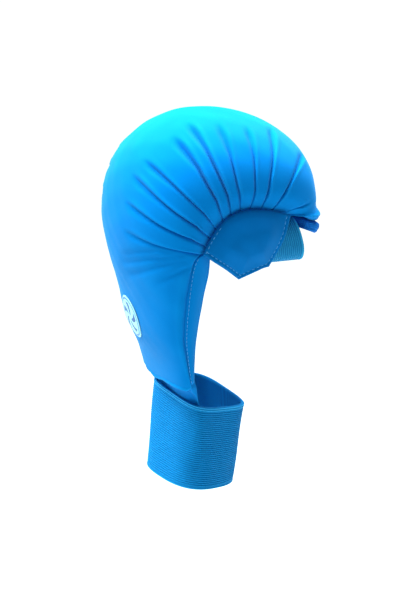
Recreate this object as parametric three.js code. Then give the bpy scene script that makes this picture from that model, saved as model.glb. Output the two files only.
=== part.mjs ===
// Karate mitt for the left hand, in millimetres. A foam dome covers the back of the hand and the
// curled fingers. A thumb guard is sewn to its near side and an elastic cuff holds it at the wrist.
// +Z runs from the wrist to the knuckles, +X to the palm side and -Y to the thumb side.
// The origin is the middle of the wrist, inside the cuff.
import * as THREE from 'three';

// Colours of the finishes, with a roughness that suits each.
const FINISH = {
  coverLeather: { color: 0x0b86e0, roughness: 0.42 },
  guardLeather: { color: 0x0a6fc0, roughness: 0.45 },
  ribElastic: { color: 0x1286d2, roughness: 0.8 },
  lining: { color: 0x0c4f93, roughness: 0.85 },
  badgePrint: { color: 0xd8f2f6, roughness: 0.35 },
};

// Shell sections from the tail inside the cuff to the lip over the fingertips. Each one lies in the
// plane that holds the Y direction and the line from its rim to its crown.
// at: way along the shell. rim and crown: x and z of the open edge and of the middle line.
// rimHalf and maxHalf: half width at the rim and at the widest point, which is maxAt of the way up.
// full: how square the crown is, 0.55 for an ellipse. foam: thickness at the crown.
const SHELL_ROWS = [
  { at: 0, rimX: -10, rimZ: 12, crownX: -23.9, crownZ: 12, rimHalf: 20.6, maxHalf: 20.6, maxAt: 0, full: 0.55, foam: 2.6 },
  { at: 22, rimX: -11, rimZ: 34, crownX: -21, crownZ: 36, rimHalf: 20.5, maxHalf: 20.5, maxAt: 0, full: 0.55, foam: 2.6 },
  { at: 27, rimX: -11, rimZ: 39.6, crownX: -20.1, crownZ: 41.3, rimHalf: 21.5, maxHalf: 21.5, maxAt: 0.02, full: 0.56, foam: 2.8 },
  { at: 31, rimX: -10.5, rimZ: 42, crownX: -21.3, crownZ: 43.6, rimHalf: 30, maxHalf: 30, maxAt: 0.06, full: 0.6, foam: 4 },
  { at: 36, rimX: -12, rimZ: 45.8, crownX: -25.2, crownZ: 46.4, rimHalf: 34, maxHalf: 35.5, maxAt: 0.2, full: 0.64, foam: 7 },
  { at: 43, rimX: -13.5, rimZ: 52, crownX: -28, crownZ: 51.5, rimHalf: 37.5, maxHalf: 39.5, maxAt: 0.27, full: 0.64, foam: 10 },
  { at: 57, rimX: -14.8, rimZ: 65, crownX: -31.8, crownZ: 64, rimHalf: 40, maxHalf: 42.5, maxAt: 0.3, full: 0.63, foam: 13.5 },
  { at: 81, rimX: -14.6, rimZ: 87, crownX: -40.3, crownZ: 86, rimHalf: 43, maxHalf: 47, maxAt: 0.32, full: 0.62, foam: 17 },
  { at: 106, rimX: -11.6, rimZ: 110, crownX: -48, crownZ: 110.5, rimHalf: 45, maxHalf: 51, maxAt: 0.32, full: 0.6, foam: 19 },
  { at: 131, rimX: -8.3, rimZ: 134.3, crownX: -55.7, crownZ: 136, rimHalf: 48.5, maxHalf: 54, maxAt: 0.3, full: 0.58, foam: 20 },
  { at: 160, rimX: -9.4, rimZ: 151.2, crownX: -60, crownZ: 164.8, rimHalf: 51.5, maxHalf: 57, maxAt: 0.28, full: 0.56, foam: 22 },
  { at: 210, rimX: -1.1, rimZ: 165.2, crownX: -47, crownZ: 207.5, rimHalf: 52.5, maxHalf: 58.5, maxAt: 0.26, full: 0.55, foam: 23 },
  { at: 252, rimX: 9.8, rimZ: 171.1, crownX: -15, crownZ: 229.1, rimHalf: 52.5, maxHalf: 59, maxAt: 0.25, full: 0.55, foam: 23 },
  { at: 289, rimX: 22.4, rimZ: 172.6, crownX: 20.2, crownZ: 230.9, rimHalf: 52.5, maxHalf: 59, maxAt: 0.25, full: 0.55, foam: 22 },
  { at: 325, rimX: 34.8, rimZ: 171.3, crownX: 52.7, crownZ: 219.9, rimHalf: 52, maxHalf: 57.5, maxAt: 0.26, full: 0.56, foam: 20 },
  { at: 358, rimX: 45, rimZ: 168, crownX: 74, crownZ: 199, rimHalf: 50, maxHalf: 54.5, maxAt: 0.28, full: 0.58, foam: 15 },
  { at: 383, rimX: 49.4, rimZ: 166.3, crownX: 80.3, crownZ: 175.5, rimHalf: 48, maxHalf: 51, maxAt: 0.28, full: 0.6, foam: 10.5 },
  { at: 402, rimX: 51.3, rimZ: 165.4, crownX: 81, crownZ: 160, rimHalf: 46.5, maxHalf: 48.5, maxAt: 0.28, full: 0.62, foam: 5.6 },
  { at: 409, rimX: 51.9, rimZ: 164.6, crownX: 84.8, crownZ: 154.2, rimHalf: 46, maxHalf: 48, maxAt: 0.28, full: 0.64, foam: 6 },
  { at: 413, rimX: 52.2, rimZ: 163.6, crownX: 84.6, crownZ: 150.2, rimHalf: 45.8, maxHalf: 47.6, maxAt: 0.28, full: 0.64, foam: 5 },
];

// Pleats of the gathered cover. at: place on the rim, by the way along the shell. lean: how much
// further along it would be at the crown. reach: how far up it runs before it fades, 1 at the crown.
// deep: depth of the fold. wide: half width of the fold, along the shell.
const PLEATS = [
  { at: 146, lean: 9, reach: 0.96, deep: 3.0, wide: 6 },
  { at: 154, lean: 25, reach: 0.92, deep: 3.4, wide: 7 },
  { at: 167, lean: 33, reach: 0.9, deep: 3.4, wide: 9 },
  { at: 189, lean: 25, reach: 0.88, deep: 3.6, wide: 10 },
  { at: 211, lean: 32, reach: 0.86, deep: 4.0, wide: 10 },
  { at: 232, lean: 26, reach: 0.9, deep: 4.2, wide: 9 },
  { at: 250, lean: 30, reach: 0.86, deep: 4.2, wide: 10 },
  { at: 272, lean: 27, reach: 0.84, deep: 4.0, wide: 11 },
  { at: 295, lean: 27, reach: 0.88, deep: 3.8, wide: 11 },
  { at: 323, lean: 24, reach: 0.8, deep: 3.2, wide: 13 },
];

// Where the stations of the shell start to lean with the pleats and where they stand straight again.
const LEAN_FROM = 120;
const LEAN_TO = 390;

// Pleats start just inside the rim and are full a little further up.
const PLEAT_FULL_T = 0.26;
const PLEAT_FADE = 0.34;

// Positions across one side of the arch, closer together where the cover is gathered.
const ARCH_STEPS = [0, 0.06, 0.14, 0.22, 0.3, 0.4, 0.5, 0.6, 0.7, 0.8, 0.9, 1];

// Stations along the shell outside the pleats. In the pleats there is one in each fold's valley, one
// on each shoulder and one between two folds.
const PLAIN_STATIONS = [
  0, 12, 22, 25, 27, 29, 31, 33.5, 36, 39, 43, 50, 57, 69, 81, 94, 106, 118, 127, 134, 140,
  340, 349, 358, 366, 375, 383, 392, 402, 405.5, 409, 411, 413,
];

// Shares of the crown's foam thickness that lie at the rim and at the sides.
const RIM_FOAM_SHARE = 0.45;
const SIDE_FOAM_SHARE = 0.62;

// The strip of cover leather that closes the side of the pad, from the rim up to the seam. It is
// narrow at the cuff and wide at the thumb guard.
const GUSSET = { from: 43, to: 134, lift: 0.5, thick: 1.2, rimT: 0.03, lowT: 0.3, highT: 0.43, across: 6 };

// The thumb guard's four edges as x and z. The arc is sewn to the shell's rim, from the corner at
// the pad over the thumb to the lip. The loop is sewn to the right edge.
const GUARD_EDGES = {
  arc: [[-15.2, 146.4], [-9.8, 156.5], [-1.6, 166.7], [6.3, 171.5], [16.9, 173.4], [29, 172.3], [39.6, 169.7], [48, 167]],
  bottom: [[12.5, 125.6], [20.1, 128.2], [28.7, 130.8], [35.2, 131.5]],
  left: [[-15.2, 146.4], [-7.8, 140.9], [2.2, 133.8], [12.5, 125.6]],
  right: [[48, 167], [44.3, 153], [39.5, 139.9], [35.2, 131.5]],
};

// arcY and bottomY: y of the guard's hand side at its arc and at its bottom edge, and nearer the loop
// it moves in by toLoop. edge and swell: thickness at the edges and what the middle adds. hollow: how
// far the middle stands off the thumb.
const GUARD = {
  arcY: -54.2, bottomY: -48.6, toLoop: 2.2, edge: 2.2, swell: 3.6, hollow: 2, stepsU: 16, stepsV: 9,
};

// The elastic loop around the thumb, an upright oval. Its near side starts under the guard's right
// edge and its other edge stands in x as the table says, by the share of its height.
const LOOP = { midY: -34, midZ: 147.7, halfY: 14.6, halfZ: 16.2, wall: 1.6, tuck: 3.2, power: 0.75, sides: 36 };
const LOOP_ROWS = [
  { at: 0, sewn: 34.5, outer: 61.5 },
  { at: 0.35, sewn: 38.6, outer: 60.5 },
  { at: 0.7, sewn: 43.4, outer: 57.6 },
  { at: 1, sewn: 46.5, outer: 54.5 },
];

// The lining sleeve around the fingertips, a flat oval tube that follows the inside of the shell and
// hangs out of the lip. at: share of its length. station and below: section of the shell, and how
// far under it. middle and half: of the oval, from the rim's line. halfY: its other half size.
const SLEEVE_ROWS = [
  { at: 0, station: 398, below: 0, middle: 13, half: 7.6, halfY: 36 },
  { at: 0.3, station: 406, below: 0, middle: 15.8, half: 8, halfY: 37 },
  { at: 0.6, station: 412.5, below: 0, middle: 18.6, half: 8.4, halfY: 38 },
  { at: 1, station: 413, below: 8, middle: 20.2, half: 9, halfY: 39 },
];
const SLEEVE = { wall: 1.6, power: 0.9, sides: 40, levels: 5, raisedEnds: 0.45 };

// The cuff's axis leans to the palm side as it goes up, and its edges are higher at the back of the
// hand by tilt. halfX and halfY: outer half sizes. low: height of the bottom edge on the axis.
const CUFF = { height: 60, wall: 2.2, halfX: 29, halfY: 33, lean: 0.12, low: -25.5, tilt: 0.24, sides: 48, bands: 2 };

// The round print on the back of the hand, as a thin disc that follows the cover. at and y: place of
// its middle. lift: clearance over the cover's facets.
const BADGE = { at: 87, y: 4, radius: 15.5, lift: 0.6, thick: 0.8, rows: 14, across: 8 };

// Between two rows every value follows a cubic through its neighbours, by the way along.
function along(rows, column, at) {
  let i = 0;
  while (i < rows.length - 2 && at > rows[i + 1].at) i += 1;
  const slope = (j) => (rows[j + 1][column] - rows[j][column]) / (rows[j + 1].at - rows[j].at);
  const tangent = (j) => {
    if (j === 0) return slope(0);
    if (j === rows.length - 1) return slope(j - 1);
    const before = rows[j].at - rows[j - 1].at;
    const after = rows[j + 1].at - rows[j].at;
    return (slope(j - 1) * after + slope(j) * before) / (before + after);
  };
  const span = rows[i + 1].at - rows[i].at;
  const u = (at - rows[i].at) / span;
  const a = rows[i][column];
  const b = rows[i + 1][column];
  return (
    a * (1 + 2 * u) * (1 - u) ** 2 +
    tangent(i) * span * u * (1 - u) ** 2 +
    b * (3 - 2 * u) * u ** 2 -
    tangent(i + 1) * span * (1 - u) * u ** 2
  );
}

function sectionAt(at) {
  const section = {};
  for (const column of Object.keys(SHELL_ROWS[0])) section[column] = along(SHELL_ROWS, column, at);
  return section;
}

// The arch of a section from the rim (t = 0) over the widest point to the crown (t = 1), as a share
// of the way from rim to crown and a half width.
const WIDEST_T = 0.4;
function arch(section, t) {
  if (t < WIDEST_T) {
    const u = t / WIDEST_T;
    const rise = Math.sin((u * Math.PI) / 2);
    return {
      share: section.maxAt * u,
      half: section.rimHalf + (section.maxHalf - section.rimHalf) * rise,
    };
  }
  const u = (t - WIDEST_T) / (1 - WIDEST_T);
  const v = 1 - u;
  const climb = 3 * v * v * u * section.full + 3 * v * u * u + u ** 3;
  const narrow = v ** 3 + 3 * v * v * u + 3 * v * u * u * section.full;
  return {
    share: section.maxAt + (1 - section.maxAt) * climb,
    half: section.maxHalf * narrow,
  };
}

function onSection(section, share, y) {
  return new THREE.Vector3(
    section.rimX + (section.crownX - section.rimX) * share,
    y,
    section.rimZ + (section.crownZ - section.rimZ) * share,
  );
}

// side is -1 on the thumb side and 1 on the little finger side. Past the crown, t goes down the
// other side.
function outerPoint(at, t, side) {
  if (t > 1) return outerPoint(at, 2 - t, -side);
  const section = sectionAt(at);
  const { share, half } = arch(section, t);
  return onSection(section, share, side * half);
}

function outerNormal(at, t, side) {
  const step = 0.01;
  const t0 = Math.max(t, step);
  const a0 = Math.min(Math.max(at, 0.5), SHELL_ROWS.at(-1).at - 0.5);
  const across = outerPoint(a0, t0 + step, side).sub(outerPoint(a0, t0 - step, side));
  const forward = outerPoint(a0 + 0.5, t0, side).sub(outerPoint(a0 - 0.5, t0, side));
  const normal = across.cross(forward).normalize();
  return side < 0 ? normal.negate() : normal;
}

function offShell(at, t, side, height) {
  return outerPoint(at, t, side).addScaledVector(outerNormal(at, t, side), height);
}

// The t at which the upper part of the arch has a given half width.
function tWithHalf(at, half) {
  const section = sectionAt(at);
  let low = WIDEST_T;
  let high = 1;
  for (let i = 0; i < 30; i += 1) {
    const middle = (low + high) / 2;
    if (arch(section, middle).half > half) low = middle;
    else high = middle;
  }
  return (low + high) / 2;
}

// How much a station leans, by its place on the rim.
function leanAt(station) {
  const rows = [{ at: LEAN_FROM, lean: 0 }, ...PLEATS, { at: LEAN_TO, lean: 0 }];
  if (station <= LEAN_FROM || station >= LEAN_TO) return 0;
  const i = rows.findIndex((row) => row.at > station) - 1;
  const share = (station - rows[i].at) / (rows[i + 1].at - rows[i].at);
  return THREE.MathUtils.lerp(rows[i].lean, rows[i + 1].lean, share);
}

function pleatDepth(station, t) {
  const rise = THREE.MathUtils.smoothstep(t, 0, PLEAT_FULL_T);
  let depth = 0;
  for (const pleat of PLEATS) {
    const away = Math.abs(station - pleat.at) / pleat.wide;
    if (away < 1) {
      const fade = THREE.MathUtils.smoothstep(pleat.reach - t, 0, PLEAT_FADE);
      depth += pleat.deep * rise * fade * (1 - away) ** 2;
    }
  }
  return depth;
}

function coverPoint(station, t, side, height = 0) {
  return offShell(station + leanAt(station) * t, t, side, height - pleatDepth(station, t));
}

// The hand's side of the foam follows the same arch, closer in by the foam's thickness.
function innerSection(at) {
  const section = sectionAt(at);
  const depth = Math.hypot(section.crownX - section.rimX, section.crownZ - section.rimZ);
  const keep = 1 - section.foam / depth;
  return {
    ...section,
    crownX: section.rimX + (section.crownX - section.rimX) * keep,
    crownZ: section.rimZ + (section.crownZ - section.rimZ) * keep,
    rimHalf: section.rimHalf - section.foam * RIM_FOAM_SHARE,
    maxHalf: section.maxHalf - section.foam * SIDE_FOAM_SHARE,
  };
}

// Six times the volume inside a closed skin, negative where its faces look inward.
function signedVolume(points, index) {
  let sum = 0;
  const crossed = new THREE.Vector3();
  for (let i = 0; i < index.length; i += 3) {
    crossed.crossVectors(points[index[i + 1]], points[index[i + 2]]);
    sum += points[index[i]].dot(crossed);
  }
  return sum;
}

// Joins rings of points into one solid. Each ring has as many points as the next one. With open
// ends, each end is closed by the strip between the ring's first half and its second half.
function loftedSolid(rings, closed = false) {
  const size = rings[0].length;
  const points = rings.flat();
  const index = [];
  const quad = (a, b, c, d) => index.push(a, b, c, a, c, d);
  const steps = closed ? rings.length : rings.length - 1;
  for (let i = 0; i < steps; i += 1) {
    const here = i * size;
    const next = ((i + 1) % rings.length) * size;
    for (let j = 0; j < size; j += 1) {
      const k = (j + 1) % size;
      quad(here + j, here + k, next + k, next + j);
    }
  }
  if (!closed) {
    const last = (rings.length - 1) * size;
    for (let j = 0; j < size / 2 - 1; j += 1) {
      const across = [j, j + 1, size - 2 - j, size - 1 - j];
      quad(...across.toReversed());
      quad(...across.map((k) => last + k));
    }
  }
  if (signedVolume(points, index) < 0) index.reverse();
  const positions = points.flatMap((p) => [p.x, p.y, p.z]);
  const geometry = new THREE.BufferGeometry();
  geometry.setAttribute('position', new THREE.Float32BufferAttribute(positions, 3));
  geometry.setIndex(index);
  geometry.computeVertexNormals();
  return geometry;
}

function evenSteps(count) {
  return Array.from({ length: count + 1 }, (_, i) => i / count);
}

function acrossBothSides(pointOn) {
  const near = ARCH_STEPS.map((t) => pointOn(t, -1));
  const far = ARCH_STEPS.slice(0, -1).reverse().map((t) => pointOn(t, 1));
  return [...near, ...far];
}

function shellRing(station) {
  const outer = acrossBothSides((t, side) => coverPoint(station, t, side));
  const inner = acrossBothSides((t, side) => {
    const inside = innerSection(station + leanAt(station) * t);
    const { share, half } = arch(inside, t);
    return onSection(inside, share, side * half);
  });
  return [...outer, ...inner.reverse()];
}

function shellStations() {
  const folded = PLEATS.flatMap((pleat, i) => {
    const next = PLEATS[i + 1];
    const between = next ? [(pleat.at + next.at) / 2] : [pleat.at + pleat.wide * 0.8];
    return [pleat.at - pleat.wide * 0.3, pleat.at, pleat.at + pleat.wide * 0.3, ...between];
  });
  return [...PLAIN_STATIONS, ...folded].sort((a, b) => a - b);
}

function paddedShell() {
  return loftedSolid(shellStations().map(shellRing));
}

function gusset(side) {
  const stations = PLAIN_STATIONS.filter((at) => at >= GUSSET.from && at <= GUSSET.to);
  const rings = stations.map((station) => {
    const share = (station - GUSSET.from) / (GUSSET.to - GUSSET.from);
    const seamT = THREE.MathUtils.lerp(GUSSET.lowT, GUSSET.highT, share ** 0.6);
    const ts = evenSteps(GUSSET.across).map((s) => THREE.MathUtils.lerp(GUSSET.rimT, seamT, s));
    const row = (height) => ts.map((t) => coverPoint(station, t, side, height));
    return [...row(GUSSET.lift + GUSSET.thick), ...row(GUSSET.lift).reverse()];
  });
  return loftedSolid(rings);
}

function edgeCurve(pairs) {
  const points = pairs.map(([x, z]) => new THREE.Vector3(x, 0, z));
  return new THREE.CatmullRomCurve3(points, false, 'centripetal');
}

function thumbGuard() {
  const arc = edgeCurve(GUARD_EDGES.arc);
  const bottom = edgeCurve(GUARD_EDGES.bottom);
  const left = edgeCurve(GUARD_EDGES.left);
  const right = edgeCurve(GUARD_EDGES.right);
  const corner = { a: arc.getPoint(0), b: arc.getPoint(1), c: bottom.getPoint(1), d: bottom.getPoint(0) };
  // The patch between the four edges.
  const onPatch = (u, v) => {
    const p = new THREE.Vector3();
    p.addScaledVector(arc.getPointAt(u), 1 - v).addScaledVector(bottom.getPointAt(u), v);
    p.addScaledVector(left.getPointAt(v), 1 - u).addScaledVector(right.getPointAt(v), u);
    p.addScaledVector(corner.a, -(1 - u) * (1 - v)).addScaledVector(corner.b, -u * (1 - v));
    p.addScaledVector(corner.c, -u * v).addScaledVector(corner.d, -(1 - u) * v);
    return p;
  };
  const rings = evenSteps(GUARD.stepsU).map((u) => {
    const row = (outside) => evenSteps(GUARD.stepsV).map((v) => {
      const p = onPatch(u, v);
      const middle = Math.sqrt(Math.sin(Math.PI * u) * Math.sin(Math.PI * v));
      const wrap = THREE.MathUtils.smoothstep(v, 0.3, 1);
      p.y = THREE.MathUtils.lerp(GUARD.arcY, GUARD.bottomY, wrap) - GUARD.hollow * middle;
      p.y += GUARD.toLoop * THREE.MathUtils.smoothstep(u, 0.55, 1);
      if (outside) p.y -= GUARD.edge + GUARD.swell * middle;
      return p;
    });
    return [...row(true), ...row(false).reverse()];
  });
  return loftedSolid(rings);
}

// A point on an oval for an angle. A power under 1 makes it squarer than an ellipse.
function ovalPoint(angle, halfA, halfB, power) {
  const squared = (value) => Math.sign(value) * Math.abs(value) ** power;
  return [halfA * squared(Math.cos(angle)), halfB * squared(Math.sin(angle))];
}

function thumbLoop() {
  const rings = [];
  for (let i = 0; i < LOOP.sides; i += 1) {
    const angle = (i / LOOP.sides) * 2 * Math.PI;
    const column = (inset) => {
      const [y, z] = ovalPoint(angle, LOOP.halfY - inset, LOOP.halfZ - inset, LOOP.power);
      const share = (z + LOOP.halfZ) / (2 * LOOP.halfZ);
      const sewn = along(LOOP_ROWS, 'sewn', share) - LOOP.tuck;
      const outer = along(LOOP_ROWS, 'outer', share);
      return [0, 0.5, 1].map(
        (s) => new THREE.Vector3(THREE.MathUtils.lerp(sewn, outer, s), LOOP.midY + y, LOOP.midZ + z),
      );
    };
    rings.push([...column(0), ...column(LOOP.wall).reverse()]);
  }
  return loftedSolid(rings, true);
}

function fingerSleeve() {
  const rings = [];
  for (let i = 0; i < SLEEVE.sides; i += 1) {
    const angle = (i / SLEEVE.sides) * 2 * Math.PI;
    const column = (inset) => evenSteps(SLEEVE.levels).map((share) => {
      const value = (name) => along(SLEEVE_ROWS, name, share);
      const section = sectionAt(value('station'));
      const toCrown = onSection(section, 1, 0).sub(onSection(section, 0, 0)).normalize();
      const downward = new THREE.Vector3(toCrown.z, 0, -toCrown.x);
      const [y, a] = ovalPoint(angle, value('halfY') - inset, value('half') - inset, SLEEVE.power);
      const below = value('below') * (1 - SLEEVE.raisedEnds * (y / value('halfY')) ** 2);
      const p = onSection(section, 0, y);
      return p.addScaledVector(toCrown, value('middle') + a).addScaledVector(downward, below);
    });
    rings.push([...column(0), ...column(SLEEVE.wall).reverse()]);
  }
  return loftedSolid(rings, true);
}

function wristCuff() {
  const rings = [];
  for (let i = 0; i < CUFF.sides; i += 1) {
    const angle = (i / CUFF.sides) * 2 * Math.PI;
    const column = (inset) => evenSteps(CUFF.bands).map((share) => {
      const x = -Math.cos(angle) * (CUFF.halfX - inset);
      const y = -Math.sin(angle) * (CUFF.halfY - inset);
      const z = CUFF.low + CUFF.height * share - x * CUFF.tilt;
      return new THREE.Vector3(x + 0.5 + CUFF.lean * z, y, z);
    });
    rings.push([...column(0), ...column(CUFF.wall).reverse()]);
  }
  return loftedSolid(rings, true);
}

function backBadge() {
  const rings = evenSteps(BADGE.rows).map((share) => {
    const angle = THREE.MathUtils.lerp(0.14, Math.PI - 0.14, share);
    const at = BADGE.at - BADGE.radius * Math.cos(angle);
    const chord = BADGE.radius * Math.sin(angle);
    const row = (height) => evenSteps(BADGE.across).map((s) => {
      const y = BADGE.y + (2 * s - 1) * chord;
      return offShell(at, tWithHalf(at, Math.abs(y)), Math.sign(y) || 1, height);
    });
    return [...row(BADGE.lift + BADGE.thick), ...row(BADGE.lift).reverse()];
  });
  return loftedSolid(rings);
}

function piece(name, geometry, finish) {
  const material = new THREE.MeshStandardMaterial({ ...finish, metalness: 0 });
  const mesh = new THREE.Mesh(geometry, material);
  mesh.name = name;
  return mesh;
}

const mitt = new THREE.Group();
mitt.add(piece('padded_shell', paddedShell(), FINISH.coverLeather));
mitt.add(piece('thumb_side_gusset', gusset(-1), FINISH.guardLeather));
mitt.add(piece('outer_side_gusset', gusset(1), FINISH.guardLeather));
mitt.add(piece('thumb_guard', thumbGuard(), FINISH.guardLeather));
mitt.add(piece('thumb_loop', thumbLoop(), FINISH.ribElastic));
mitt.add(piece('finger_sleeve', fingerSleeve(), FINISH.lining));
mitt.add(piece('wrist_cuff', wristCuff(), FINISH.ribElastic));
mitt.add(piece('back_badge', backBadge(), FINISH.badgePrint));

export default mitt;
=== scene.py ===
"""Left-hand karate mitt: a gathered foam dome, a stitched thumb guard, ribbed elastic and a lining."""

import math

import bmesh
import bpy
import numpy as np
from mathutils import Matrix, Vector


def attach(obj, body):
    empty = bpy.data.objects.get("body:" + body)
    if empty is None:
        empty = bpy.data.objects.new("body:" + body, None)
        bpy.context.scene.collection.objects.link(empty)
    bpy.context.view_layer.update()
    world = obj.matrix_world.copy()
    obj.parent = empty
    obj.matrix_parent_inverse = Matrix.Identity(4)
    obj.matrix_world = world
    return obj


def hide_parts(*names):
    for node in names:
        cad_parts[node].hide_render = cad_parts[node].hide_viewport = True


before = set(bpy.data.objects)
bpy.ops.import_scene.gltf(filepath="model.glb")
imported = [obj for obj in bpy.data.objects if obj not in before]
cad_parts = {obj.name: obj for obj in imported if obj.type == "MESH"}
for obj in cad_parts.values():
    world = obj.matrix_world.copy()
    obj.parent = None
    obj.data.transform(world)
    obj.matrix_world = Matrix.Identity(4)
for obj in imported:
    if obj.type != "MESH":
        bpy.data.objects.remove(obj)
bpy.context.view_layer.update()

# Sizes, in millimetres. A way along, or "at", runs over the shell from its wrist end to its front lip. A "t"
# is a share of the way up its arch, from 0 at the rim to 1 at the crown.
MM = 0.001

# Sections of the padded shell. They follow the solids, but the tail is wider here and fills the cuff. rim
# and crown are the foot and the top of the arch, the halves are its half widths at the foot and where it is
# widest, max_at is how far up that is, full is how square its shoulders are, and foam is its thickness.
SHELL_COLUMNS = (
    "at", "rim_x", "rim_z", "crown_x", "crown_z", "rim_half", "max_half", "max_at", "full", "foam",
)
SHELL_ROWS = np.array([
    (0, -6, 12, -23.9, 12, 26, 26, 0, 0.6, 2.6),
    (22, -7.6, 34, -21.6, 36, 29.2, 29.2, 0.02, 0.6, 2.6),
    (27, -9.2, 39, -22.4, 41, 31.6, 31.8, 0.04, 0.6, 2.8),
    (31, -10.3, 42, -24.4, 43, 33, 33.4, 0.08, 0.61, 4.5),
    (36, -11.8, 46, -27.8, 46.2, 34.8, 36, 0.2, 0.66, 7.5),
    (43, -13.5, 52, -28.7, 51.5, 37.5, 39.3, 0.27, 0.65, 10.5),
    (57, -14.8, 65, -32.2, 64, 40, 42.5, 0.3, 0.62, 13.5),
    (81, -14.6, 87, -41.9, 86, 43, 47, 0.32, 0.63, 17),
    (106, -11.6, 110, -48, 110.5, 45, 51, 0.32, 0.6, 19),
    (131, -8.3, 134.3, -55.7, 136, 48.5, 54, 0.3, 0.58, 20),
    (160, -9.4, 151.2, -60, 164.8, 51.5, 57, 0.28, 0.56, 22),
    (210, -1.1, 165.2, -47, 207.5, 52.5, 58.5, 0.26, 0.55, 23),
    (252, 9.8, 171.1, -15, 229.1, 52.5, 59, 0.25, 0.55, 23),
    (289, 22.4, 172.6, 20.2, 230.9, 52.5, 59, 0.25, 0.55, 22),
    (325, 34.8, 171.3, 52.7, 219.9, 52, 57.5, 0.26, 0.56, 20),
    (358, 45, 168, 74, 199, 50, 54.5, 0.28, 0.58, 15),
    (383, 49.4, 166.3, 80.3, 175.5, 48, 51, 0.28, 0.6, 10.5),
    (393, 50.4, 165.8, 81, 165.8, 47.4, 49.9, 0.28, 0.61, 8),
    (399, 51.1, 165.4, 83.6, 158.2, 47.2, 49.8, 0.28, 0.64, 8),
    (402, 51.3, 165.2, 84.2, 156.2, 46.6, 49, 0.28, 0.64, 5.6),
    (409, 51.9, 164.6, 84.8, 154.2, 46, 48, 0.28, 0.64, 6),
    (413, 52.2, 163.6, 84.6, 150.2, 45.8, 47.6, 0.28, 0.64, 5),
])
COVER_END = 398.5
# The round hem of the front edge: its crest, and where the cover starts to turn in.
HEM_CREST, HEM_TURN = 396.6, 397.3
# The t where the arch is widest, and how much of the foam's thickness the rim and the sides have.
WIDEST_T = 0.4
RIM_FOAM_SHARE = 0.45
SIDE_FOAM_SHARE = 0.62

# Gathers of the cover: points (t, way along the shell) from the seam to the tip, then the fold's
# depth and its half width.
GATHERS = (
    (((0, 146.5), (0.17, 147.5), (0.66, 151), (0.86, 153.5)), 1.5, 5),
    (((0, 155), (0.09, 159), (0.61, 168), (0.86, 175)), 2.1, 5.5),
    (((0, 171.5), (0.08, 174.5), (0.54, 185.5), (0.87, 195.5)), 2.2, 6),
    (((0, 194), (0.17, 199), (0.61, 207.5), (0.85, 210)), 1.9, 5.5),
    (((0, 217.5), (0.15, 222), (0.32, 226.5), (0.59, 235.5), (0.83, 237.5)), 2.6, 6.5),
    (((0, 238.5), (0.06, 240), (0.45, 247.5), (0.65, 251.5), (0.88, 254)), 2.6, 6.5),
    (((0, 260.5), (0.43, 263.5), (0.6, 269), (0.82, 273.5)), 2.2, 6),
    (((0, 279.5), (0.06, 280.5), (0.45, 287), (0.58, 291), (0.8, 294.5)), 1.9, 5.5),
    (((0, 301), (0.04, 302.5), (0.46, 306.5), (0.67, 313), (0.86, 318)), 2.2, 6),
    (((0, 326), (0.05, 327.5), (0.41, 332), (0.57, 338), (0.8, 349)), 2.0, 6),
    (((0, 362), (0.3, 374), (0.55, 380)), 0.9, 6),
)
# Slack creases on the back of the hand: points (t, way along), depth, half width.
SLACK = (
    (((0.46, 146.5), (0.62, 147), (0.8, 140), (0.92, 135)), 1.0, 3.2),
    (((0.46, 145), (0.68, 138.5), (0.93, 129.5)), 1.2, 3.6),
    (((0.46, 141), (0.65, 133), (0.92, 121)), 1.1, 3.6),
    (((0.4, 136.5), (0.5, 130), (0.66, 121.5)), 1.0, 3.4),
)
# The seam along the side of the back pad: way along and t.
SIDE_SEAM = np.array([
    (41, 0.28), (56.5, 0.385), (76.5, 0.42), (99, 0.43), (114.5, 0.42), (130, 0.395), (138.5, 0.34),
    (143.5, 0.28), (147.5, 0.15), (152, 0.03),
])
# The fold above the cuff, where the pad's cover turns in: t and way along. Then how deep the cover lies
# under the fold, how much deeper in the crease right below it, and how far it puffs out above it.
CUFF_FOLD = np.array([(0.3, 42), (0.48, 38.6), (0.57, 39.4), (0.76, 40.8), (0.86, 41), (1, 37.5)])
FOLD_DEEP, FOLD_CREASE, FOLD_PUFF = 2.8, 1.6, 1.0
# Inside the cuff: the tail's clearance to the cuff, and how much further in its lining lies.
TAIL_CLEARANCE, TAIL_LINING_INSET = 0.25, 2.4

# The side gussets' width and thickness, and how high over the shell's form their thin ends lie.
GUSSET_WIDTH, GUSSET_THICK, GUSSET_FOOT = 16.0, 1.5, -1.4

# The thumb guard's four edges, in x and z.
GUARD_EDGES = {
    "arc": [
        (-15.2, 146.4), (-9.8, 156.5), (-1.6, 166.7), (6.3, 171.5), (16.9, 173.4), (29, 172.3),
        (39.6, 169.7), (48, 167),
    ],
    "bottom": [(12.5, 125.6), (20.1, 128.2), (28.7, 130.8), (35.2, 131.5)],
    "left": [(-15.2, 146.4), (-7.8, 140.9), (2.2, 133.8), (12.5, 125.6)],
    "right": [(48, 167), (44.3, 153), (39.5, 139.9), (35.2, 131.5)],
}
# Its y at the arc and at the bottom, and how far it draws in beside the loop. Then its thickness at the
# edges, how far its padding swells, and how far its middle stands out over the thumb.
GUARD_ARC_Y, GUARD_BOTTOM_Y, GUARD_TO_LOOP = -54.2, -48.6, 2.2
GUARD_EDGE, GUARD_SWELL, GUARD_HOLLOW = 2.2, 3.6, 2.0
STITCH_IN = 2.9
# Rows of stitches on the guard: the edge, from and to which share of it, and how far in.
GUARD_STITCHES = (
    ("left", 0.04, 0.97, STITCH_IN),
    ("bottom", 0.05, 0.95, STITCH_IN),
    ("right", 0.04, 0.96, STITCH_IN),
    ("arc", 0.02, 0.32, 1.3),
)
# A thread's height for its width, and how deep it is pressed into its surface.
THREAD_FLAT, THREAD_SINK = 0.8, 0.15

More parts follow.
